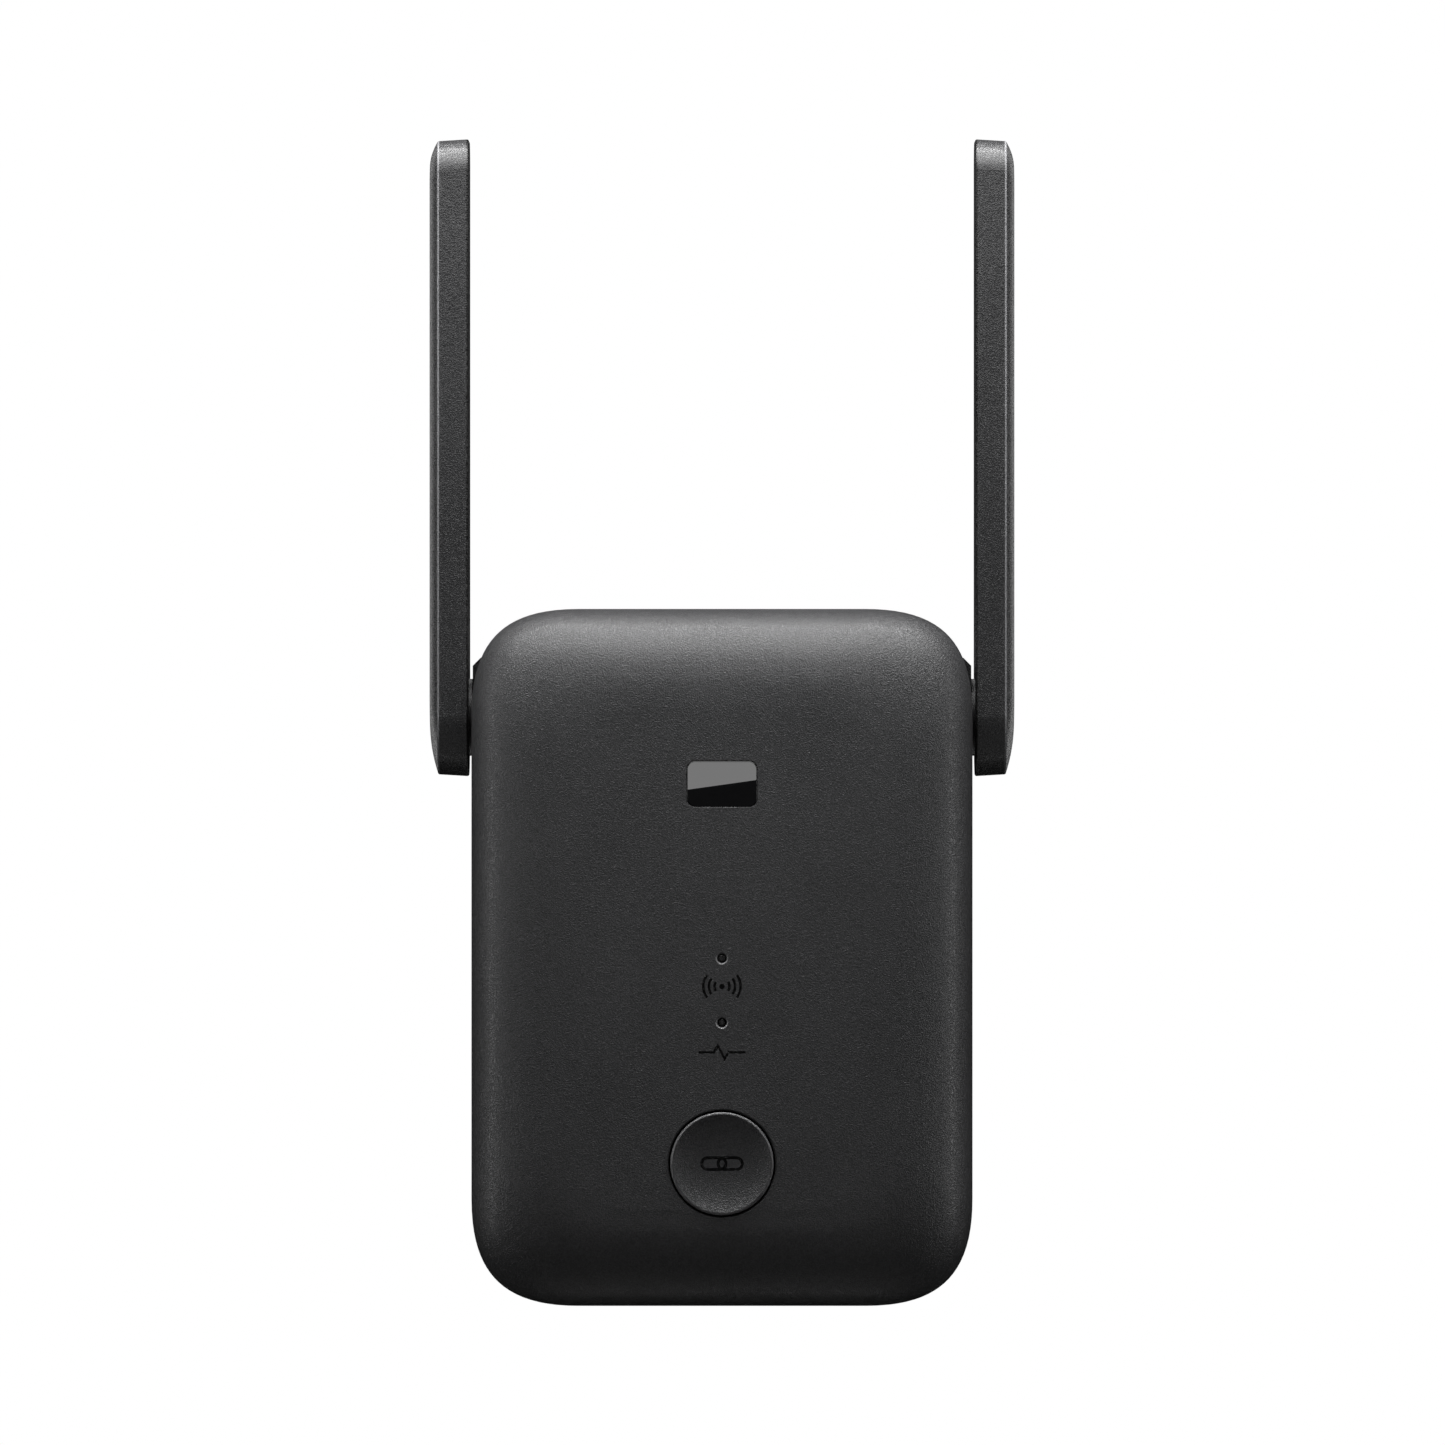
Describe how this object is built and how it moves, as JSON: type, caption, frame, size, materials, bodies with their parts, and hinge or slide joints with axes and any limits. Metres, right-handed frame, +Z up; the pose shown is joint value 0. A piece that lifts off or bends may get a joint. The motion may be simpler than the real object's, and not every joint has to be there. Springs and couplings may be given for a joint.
{
  "type": "wifi range extender",
  "caption": "Wall plug-in wifi range extender: tall flat case with soft edges, swinging flat antennas at the sides, dished round button and a socket for a network cable underneath.",
  "frame": {"origin": "middle of the plug's engagement face, between the two pins", "axes": "+Y points into the wall, so the front faces -Y; +Z is up; +X is to the right seen from the front"},
  "size_m": [0.0902, 0.0702, 0.1796],
  "materials": {
    "case_black": "fine moulded grain",
    "gloss_black": "polished",
    "label_grey": "smooth film",
    "nickel": "nickel plated brass",
    "sleeve_black": "smooth",
    "brass": "bright",
    "switch_black": "satin",
    "switch_white": "satin",
    "light_pipe": "smoky clear",
    "led_white": "moulded resin",
    "board_green": "solder mask",
    "board_brown": "paper laminate",
    "chip_black": "moulded epoxy",
    "thermal_grey": "soft pad",
    "aluminium": "stamped",
    "tinned_steel": "tin plated",
    "gold": "gold flash",
    "can_sleeve": "shrunk sleeve",
    "ferrite": "sintered",
    "tape_yellow": "tape",
    "fuse_brown": "moulded",
    "cap_yellow": "moulded",
    "cap_blue": "dipped",
    "shrink_black": "shrunk sleeve",
    "sheet_white": "thin film",
    "steel": "zinc plated",
    "hinge_black": "satin",
    "coax_black": "thin jacket"
  },
  "bodies": {
    "housing": {"front_cover": "case_black", "badge_plate": "gloss_black", "rear_housing": "case_black", "rear_label": "label_grey", "plug_neck": "case_black", "plug_pins": "nickel", "pin_sleeves": "sleeve_black", "mains_contacts": "brass", "button_switch_base": "switch_black", "reset_switch_base": "switch_black", "signal_light_pipe": "light_pipe", "system_light_pipe": "light_pipe", "led_chips": "led_white", "main_board": "board_green", "main_processor": "chip_black", "thermal_pad": "thermal_grey", "heat_spreader": "aluminium", "radio_shields": "tinned_steel", "memory_chips": "chip_black", "crystal_can": "tinned_steel", "lan_transformer": "chip_black", "coax_connectors": "brass", "jack_shield": "tinned_steel", "jack_contacts": "gold", "power_board": "board_brown", "board_header": "switch_black", "bulk_capacitors": "can_sleeve", "output_capacitors": "can_sleeve", "flyback_core": "ferrite", "flyback_winding": "tape_yellow", "bridge_rectifier": "chip_black", "fuse": "fuse_brown", "x_capacitor": "cap_yellow", "y_capacitor": "cap_blue", "choke": "shrink_black", "controller_chip": "chip_black", "insulation_sheet": "sheet_white", "case_screws": "steel", "board_screws": "steel", "jack_insert": "switch_black", "left_friction_washer": "steel", "left_coax_lead": "coax_black", "right_friction_washer": "steel", "right_coax_lead": "coax_black"},
    "button": {"button_cap": "case_black", "button_switch_plunger": "switch_black"},
    "reset_button": {"reset_switch_plunger": "switch_white"},
    "left_antenna": {"left_antenna_shell": "case_black", "left_antenna_cover": "case_black", "left_radiator_board": "board_green", "left_hinge_shaft": "hinge_black", "left_retaining_clip": "steel", "left_antenna_coax": "coax_black"},
    "right_antenna": {"right_antenna_shell": "case_black", "right_antenna_cover": "case_black", "right_radiator_board": "board_green", "right_hinge_shaft": "hinge_black", "right_retaining_clip": "steel", "right_antenna_coax": "coax_black"}
  },
  "joints": [
    {"name": "left_antenna_hinge", "type": "hinge", "parent": "housing", "child": "left_antenna", "pos_m": [-0.0386, -0.0268, 0.0289], "axis": [1, 0, 0], "range_deg": [0, 180]},
    {"name": "right_antenna_hinge", "type": "hinge", "parent": "housing", "child": "right_antenna", "pos_m": [0.0386, -0.0268, 0.0289], "axis": [1, 0, 0], "range_deg": [0, 180]},
    {"name": "button_press", "type": "slide", "parent": "housing", "child": "button", "axis": [0, 1, 0], "range_m": [0, 0.0004], "stiffness_N_per_m": 2500, "springref_m": -0.0002},
    {"name": "reset_press", "type": "slide", "parent": "housing", "child": "reset_button", "axis": [0, 0, 1], "range_m": [0, 0.00025], "stiffness_N_per_m": 2500, "springref_m": -0.0002}
  ]
}
